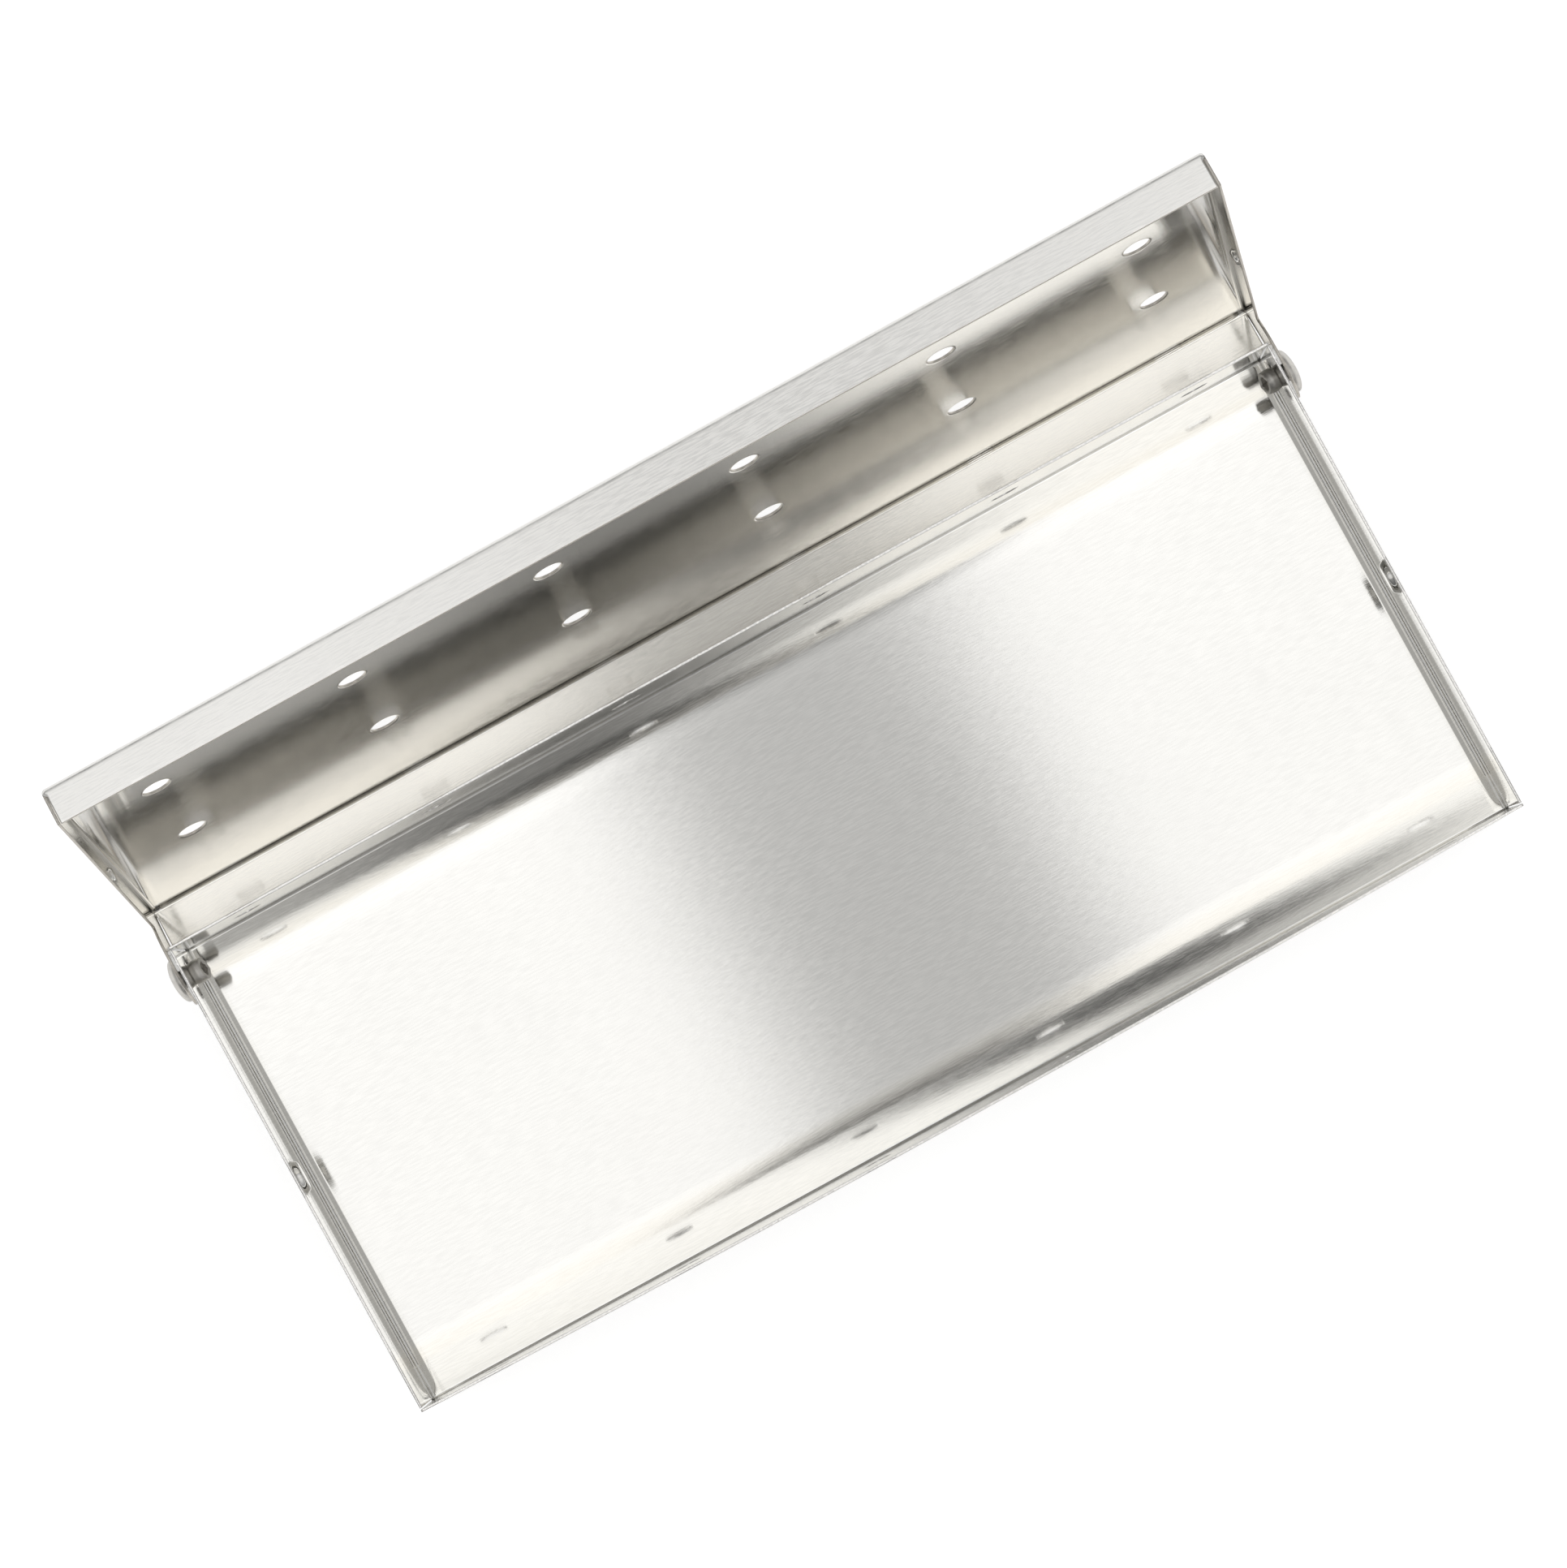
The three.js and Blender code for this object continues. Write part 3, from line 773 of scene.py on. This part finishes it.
class Nodes:
    """A short way to write a node tree."""

    def __init__(self, tree):
        self.tree = tree

    def node(self, kind, **settings):
        made = self.tree.nodes.new(kind)
        for key, value in settings.items():
            setattr(made, key, value)
        return made

    def put(self, socket, value):
        if isinstance(value, bpy.types.NodeSocket):
            self.tree.links.new(value, socket)
        else:
            socket.default_value = value

    def math(self, operation, *values):
        made = self.node("ShaderNodeMath", operation=operation)
        for socket, value in zip(made.inputs, values):
            self.put(socket, value)
        return made.outputs[0]

    def times(self, first, second):
        return self.math("MULTIPLY", first, second)

    def rest(self, share):
        """What a share leaves of 1."""
        return self.math("SUBTRACT", 1.0, share)

    def span(self, value, low, high, to_low=0.0, to_high=1.0):
        """value from low to high, turned smoothly into to_low to to_high."""
        made = self.node("ShaderNodeMapRange", interpolation_type="SMOOTHSTEP")
        for socket, given in zip(made.inputs, (value, low, high, to_low, to_high)):
            self.put(socket, given)
        return made.outputs[0]

    def mix(self, share, first, second, blend="MIX"):
        """Two colours mixed by a share of the second."""
        made = self.node("ShaderNodeMix", data_type="RGBA", blend_type=blend)
        colours = [socket for socket in made.inputs if socket.type == "RGBA"]
        self.put(made.inputs[0], share)
        for socket, value in zip(colours, (first, second)):
            self.put(socket, value)
        return next(socket for socket in made.outputs if socket.type == "RGBA")

    def noise(self, place, scale, detail, dimensions="3D"):
        made = self.node("ShaderNodeTexNoise", noise_dimensions=dimensions)
        self.put(made.inputs["Vector"], place)
        made.inputs["Scale"].default_value = scale
        made.inputs["Detail"].default_value = detail
        return made.outputs[0]

    def bump(self, height, strength, distance):
        made = self.node("ShaderNodeBump")
        made.inputs["Strength"].default_value = strength
        made.inputs["Distance"].default_value = distance
        self.put(made.inputs["Height"], height)
        return made.outputs[0]


def shader_nodes(name):
    """A new material, its nodes and its shader."""
    material = bpy.data.materials.new(name)
    material.use_nodes = True
    return material, Nodes(material.node_tree), material.node_tree.nodes["Principled BSDF"]


def opaque(colour, share=1.0):
    """A colour, darkened to a share, with full alpha."""
    return tuple(c * share for c in colour) + (1,)


# Brushed grain. Its scale is per blank unit, along the sheet's length and across it
GRAIN_SCALE = (30.0, 360.0, 1.0)
GRAIN_DETAIL = 3.0
GRAIN_SPAN = (0.32, 0.66)
GRAIN_ROUGH_SPAN = (0.35, 0.72)
GRAIN_DEPTH = 0.00001
CLOUD_SCALE = 3.2
CLOUD_DETAIL = 2.0
CLOUD_SPAN = (0.35, 0.65)
CLOUD_DARK = 0.985
ANISOTROPY = 0.95
ANISOTROPY_TURN = 0.25


def sheet_steel(name, colour, smoothest, roughest, streaks, grain_dark):
    """Stainless sheet brushed along its length.

    Its grain runs from smoothest to roughest and stands up by streaks. Between its lines the colour falls to
    grain_dark of itself.
    """
    material, nodes, shader = shader_nodes(name)
    blank = nodes.node("ShaderNodeUVMap", uv_map="blank").outputs[0]
    grain_place = nodes.node("ShaderNodeMapping")
    nodes.put(grain_place.inputs["Vector"], blank)
    grain_place.inputs["Scale"].default_value = GRAIN_SCALE
    grain = nodes.noise(grain_place.outputs[0], 1.0, GRAIN_DETAIL, "2D")
    cloud = nodes.noise(blank, CLOUD_SCALE, CLOUD_DETAIL, "2D")
    tone = nodes.mix(nodes.span(cloud, *CLOUD_SPAN), opaque(colour, CLOUD_DARK), opaque(colour))
    grained = nodes.mix(1.0, tone, nodes.span(grain, *GRAIN_SPAN, grain_dark, 1.0), "MULTIPLY")
    nodes.put(shader.inputs["Base Color"], grained)
    shader.inputs["Metallic"].default_value = 1.0
    nodes.put(shader.inputs["Roughness"], nodes.span(grain, *GRAIN_ROUGH_SPAN, smoothest, roughest))
    shader.inputs["Anisotropic"].default_value = ANISOTROPY
    shader.inputs["Anisotropic Rotation"].default_value = ANISOTROPY_TURN
    tangent = nodes.node("ShaderNodeTangent", direction_type="UV_MAP", uv_map="blank")
    nodes.put(shader.inputs["Tangent"], tangent.outputs[0])
    nodes.put(shader.inputs["Normal"], nodes.bump(grain, streaks, GRAIN_DEPTH))
    return material


# Unbrushed metal
GRIT_DETAIL = 4.0
GRIT_DARK_SPAN = (0.35, 0.65)
GRIT_DARK = 0.82
GRIT_ROUGH_SPAN = (0.3, 0.7)
GRIT_ROUGH_RANGE = (0.85, 1.15)
GRIT_DEPTH = 0.0001


def plain_metal(name, colour, roughness, grit, scale):
    """Unbrushed metal with a fine uneven surface."""
    material, nodes, shader = shader_nodes(name)
    place = nodes.node("ShaderNodeTexCoord").outputs["Object"]
    noise = nodes.noise(place, scale, GRIT_DETAIL)
    tone = nodes.mix(nodes.span(noise, *GRIT_DARK_SPAN), opaque(colour, GRIT_DARK), opaque(colour))
    nodes.put(shader.inputs["Base Color"], tone)
    shader.inputs["Metallic"].default_value = 1.0
    low, high = (roughness * share for share in GRIT_ROUGH_RANGE)
    nodes.put(shader.inputs["Roughness"], nodes.span(noise, *GRIT_ROUGH_SPAN, low, high))
    nodes.put(shader.inputs["Normal"], nodes.bump(noise, grit, GRIT_DEPTH))
    return material


# Camera, fitted to the photograph
IMAGE_WIDTH = 1931
FOCAL_PIXELS = 11376.9
CAMERA_PLACE = (2.703, -22.689, 1578.06)
CAMERA_ROLL = 28.836
CAMERA_PITCH = 1.532
CAMERA_YAW = 0.156
SENSOR = 36.0
CAMERA_NEAR = 0.05
CAMERA_FAR = 20


def make_camera():
    """The photograph's camera, looking almost straight down."""
    data = bpy.data.cameras.new("photo_camera")
    data.sensor_fit = "HORIZONTAL"
    data.sensor_width = SENSOR
    data.lens = FOCAL_PIXELS / IMAGE_WIDTH * SENSOR
    data.clip_start = CAMERA_NEAR
    data.clip_end = CAMERA_FAR
    camera = bpy.data.objects.new("photo_camera", data)
    bpy.context.scene.collection.objects.link(camera)
    pitch = Matrix.Rotation(math.radians(CAMERA_PITCH), 3, "X")
    yaw = Matrix.Rotation(math.radians(CAMERA_YAW), 3, "Y")
    roll = Matrix.Rotation(-math.radians(CAMERA_ROLL), 3, "Z")
    turn = (pitch @ yaw @ roll).to_4x4()
    camera.matrix_world = Matrix.Translation(Vector(CAMERA_PLACE) * MM) @ turn
    bpy.context.scene.camera = camera


# Studio light, as radiance by direction. A slope is the run over the rise of a direction, and a span is
# where its share of the light sets in, as a rise in LIGHT_SPAN and BACKDROP_SPAN and else as a slope
WHITE = (1, 1, 1, 1)
LOWEST_RISE = 0.05
PLAIN_LIGHT = 1.0
TOP_LIGHT = 1.18
LOW_LIGHT = 0.35
LIGHT_SPAN = (0.1, 0.8)
ZENITH_SHARE = 0.9
ZENITH_SPAN = (0.045, 0.07)
BACK_SHARE = 0.76
BACK_SPAN = (0.4, 0.5)
SIDE_SHARE = 0.42
SIDE_SPAN = (0.09, 0.26)
SIDE_RETURN = 0.75
SIDE_RETURN_SPAN = (0.9, 1.8)
FRONT_SHADE = 0.36
SHADE_FRONT_SPAN = (-0.2, -0.42)
SHADE_LEFT_SPAN = (0.055, -0.005)
WARM_SHARE = 0.96
WARM_TINT = (1.0, 0.98, 0.94, 1.0)
WARM_NEAR_SPAN = (-0.08, -0.12)
WARM_FAR_SPAN = (-0.27, -0.21)
BACKDROP_WHITE = 1.0
BACKDROP_SPAN = (0.12, 0.02)

# The dark strip overhead. It leans left towards the front and right towards the back, and far out it comes
# back to the middle
STRIP_MIDDLE = 0.002
STRIP_FRONT_LEAN = 0.33
STRIP_FRONT_POWER = 2.0
STRIP_BACK_LEAN = 1.05
STRIP_BACK_POWER = 3.0
STRIP_RETURN = 0.42
STRIP_RETURN_POWER = 8.0
STRIP_HALF = 0.01
STRIP_EDGE = 0.028
STRIP_EDGE_AWAY = 0.035
STRIP_EDGE_SPAN = (0.08, 0.22)
STRIP_ZENITH = 0.5
STRIP_AWAY = 0.07
STRIP_AWAY_SPAN = (0.1, 0.23)
STRIP_FAR = 0.6
STRIP_FAR_SPAN = (0.29, 0.4)


def strip_lean(nodes, slope, power, lean):
    """How far the strip has leaned at a slope, which counts above 0 only."""
    return nodes.times(nodes.math("POWER", nodes.math("MAXIMUM", slope, 0.0), power), lean)


def dark_strip(nodes, slope_x, slope_y):
    """The share of the light that the strip overhead takes away."""
    across = nodes.math("ABSOLUTE", slope_y)
    front_lean = strip_lean(nodes, nodes.times(slope_y, -1.0), STRIP_FRONT_POWER, STRIP_FRONT_LEAN)
    back_lean = strip_lean(nodes, slope_y, STRIP_BACK_POWER, STRIP_BACK_LEAN)
    lean = nodes.math("SUBTRACT", back_lean, front_lean)
    bend_back = nodes.math("POWER", nodes.math("DIVIDE", across, STRIP_RETURN), STRIP_RETURN_POWER)
    lean = nodes.math("DIVIDE", lean, nodes.math("ADD", bend_back, 1.0))
    middle = nodes.math("ADD", lean, STRIP_MIDDLE)
    away = nodes.math("ABSOLUTE", nodes.math("SUBTRACT", slope_x, middle))
    edge = nodes.span(across, *STRIP_EDGE_SPAN, STRIP_EDGE, STRIP_EDGE_AWAY)
    inside = nodes.span(away, edge, STRIP_HALF)
    kept_near = nodes.span(across, *STRIP_AWAY_SPAN, STRIP_ZENITH, STRIP_AWAY)
    kept_far = nodes.span(across, *STRIP_FAR_SPAN, 0.0, STRIP_FAR - STRIP_AWAY)
    return nodes.times(inside, nodes.rest(nodes.math("ADD", kept_near, kept_far)))


def warm_band(nodes, slope_y):
    """Where the light is a little warm, a band in front of the zenith."""
    return nodes.times(nodes.span(slope_y, *WARM_NEAR_SPAN), nodes.span(slope_y, *WARM_FAR_SPAN))


def studio_level(nodes, z, slope_x, slope_y, warm):
    """The light that mirror rays see above the horizon."""
    level = nodes.span(z, *LIGHT_SPAN, LOW_LIGHT, TOP_LIGHT)
    across = nodes.math("ABSOLUTE", slope_y)
    aside = nodes.math("ABSOLUTE", slope_x)
    sides_return = nodes.span(aside, *SIDE_RETURN_SPAN, 0.0, SIDE_RETURN)
    to_side = nodes.math("SUBTRACT", nodes.span(aside, *SIDE_SPAN), sides_return)
    shade = nodes.times(nodes.span(slope_y, *SHADE_FRONT_SPAN), nodes.span(slope_x, *SHADE_LEFT_SPAN))
    shares = (
        nodes.span(across, *ZENITH_SPAN, ZENITH_SHARE, 1),
        nodes.span(slope_y, *BACK_SPAN, 1, BACK_SHARE),
        nodes.span(warm, 0, 1, 1, WARM_SHARE),
        nodes.span(to_side, 0, 1, 1, SIDE_SHARE),
        nodes.span(shade, 0, 1, 1, FRONT_SHADE),
        nodes.rest(dark_strip(nodes, slope_x, slope_y)),
    )
    for share in shares:
        level = nodes.times(level, share)
    return level


def make_world():
    """A pale studio.

    The camera sees plain white. Mirror rays see that white near the horizon, and above it a soft light with
    a dark strip overhead, a warm band, dimmer sides and back, and a shaded front left. All other rays get a
    plain light.
    """
    world = bpy.data.worlds.new("studio")
    bpy.context.scene.world = world
    world.use_nodes = True
    nodes = Nodes(world.node_tree)
    background = world.node_tree.nodes["Background"]
    parts = nodes.node("ShaderNodeSeparateXYZ")
    nodes.put(parts.inputs[0], nodes.node("ShaderNodeTexCoord").outputs["Generated"])
    x, y, z = parts.outputs
    rise = nodes.math("MAXIMUM", z, LOWEST_RISE)
    slope_x = nodes.math("DIVIDE", x, rise)
    slope_y = nodes.math("DIVIDE", y, rise)
    warm = warm_band(nodes, slope_y)
    studio = studio_level(nodes, z, slope_x, slope_y, warm)
    rays = nodes.node("ShaderNodeLightPath").outputs
    mirrored = nodes.math("MAXIMUM", rays["Is Glossy Ray"], rays["Is Transmission Ray"])
    plain = nodes.times(nodes.rest(mirrored), PLAIN_LIGHT)
    level = nodes.math("MULTIPLY_ADD", studio, mirrored, plain)
    backdrop = nodes.times(mirrored, nodes.span(z, *BACKDROP_SPAN))
    backdrop = nodes.math("MAXIMUM", backdrop, rays["Is Camera Ray"])
    kept = nodes.times(level, nodes.rest(backdrop))
    nodes.put(background.inputs["Strength"], nodes.math("MULTIPLY_ADD", backdrop, BACKDROP_WHITE, kept))
    tint = nodes.mix(nodes.times(warm, nodes.rest(backdrop)), WHITE, WARM_TINT)
    nodes.put(background.inputs["Color"], tint)


FLOOR_HALF = 3.0
FLOOR_HEIGHT = -0.00002
FLOOR_COLOUR = (0.9, 0.9, 0.9)
FLOOR_GLOW = 0.38
FLOOR_GLOW_MIRRORED = 0.1


def make_floor():
    """The pale floor, in metres. It glows a little for camera and mirror rays, and keeps the shadow."""
    mesh = bpy.data.meshes.new("studio_floor")
    around = ((-1, -1), (1, -1), (1, 1), (-1, 1))
    corners = [(x * FLOOR_HALF, y * FLOOR_HALF, FLOOR_HEIGHT) for x, y in around]
    mesh.from_pydata(corners, [], [(0, 1, 2, 3)])
    floor = bpy.data.objects.new("studio_floor", mesh)
    bpy.context.scene.collection.objects.link(floor)
    material, nodes, shader = shader_nodes("studio_floor")
    shader.inputs["Base Color"].default_value = opaque(FLOOR_COLOUR)
    shader.inputs["Roughness"].default_value = 1.0
    shader.inputs["Specular IOR Level"].default_value = 0.0
    shader.inputs["Emission Color"].default_value = WHITE
    rays = nodes.node("ShaderNodeLightPath").outputs
    mirrored = nodes.math("MAXIMUM", rays["Is Glossy Ray"], rays["Is Transmission Ray"])
    mirrored_glow = nodes.times(mirrored, FLOOR_GLOW_MIRRORED)
    glow = nodes.math("MULTIPLY_ADD", rays["Is Camera Ray"], FLOOR_GLOW, mirrored_glow)
    nodes.put(shader.inputs["Emission Strength"], glow)
    mesh.materials.append(material)


bpy.context.scene.view_settings.view_transform = "Standard"
make_camera()
make_world()
make_floor()

# Metals
tray_inner = sheet_steel(
    "tray_inner_steel", (0.925, 0.915, 0.885), smoothest=0.06, roughest=0.08, streaks=0.25, grain_dark=0.95)
tray_outer = sheet_steel(
    "tray_outer_steel", (0.86, 0.85, 0.825), smoothest=0.1, roughest=0.16, streaks=0.3, grain_dark=0.84)
lid_inner = sheet_steel(
    "lid_inner_steel", (0.925, 0.907, 0.865), smoothest=0.07, roughest=0.1, streaks=0.3, grain_dark=0.95)
lid_outer = sheet_steel(
    "lid_outer_steel", (0.955, 0.945, 0.915), smoothest=0.18, roughest=0.26, streaks=0.3, grain_dark=0.9)
tray_cut = plain_metal("tray_cut_edge", (0.92, 0.905, 0.88), roughness=0.16, grit=0.1, scale=2500)
# The lid's cut edges are darker and browner than the tray's. Part of that is a duller sheared edge; the rest
# is painted shade from the gaps at the lid's ends.
lid_cut_painted_shade = plain_metal("lid_cut_edge_painted_shade", (0.72, 0.68, 0.62), roughness=0.35, grit=0.2, scale=2500)
rivet_metal = plain_metal("rivet_satin", (0.72, 0.7, 0.66), roughness=0.4, grit=0.2, scale=900)
mandrel_metal = plain_metal("mandrel_torn_steel", (0.3, 0.28, 0.25), roughness=0.35, grit=0.9, scale=2200)

tray = make_tray([tray_inner, tray_outer, tray_cut])
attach(tray, "tray")
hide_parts("tray")
lid = make_lid([lid_inner, lid_outer, lid_cut_painted_shade])
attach(lid, "lid")
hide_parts("lid")
for side, label in ((-1, "left"), (1, "right")):
    make_rivet(side, label, rivet_metal)
    make_mandrel(side, label, mandrel_metal)
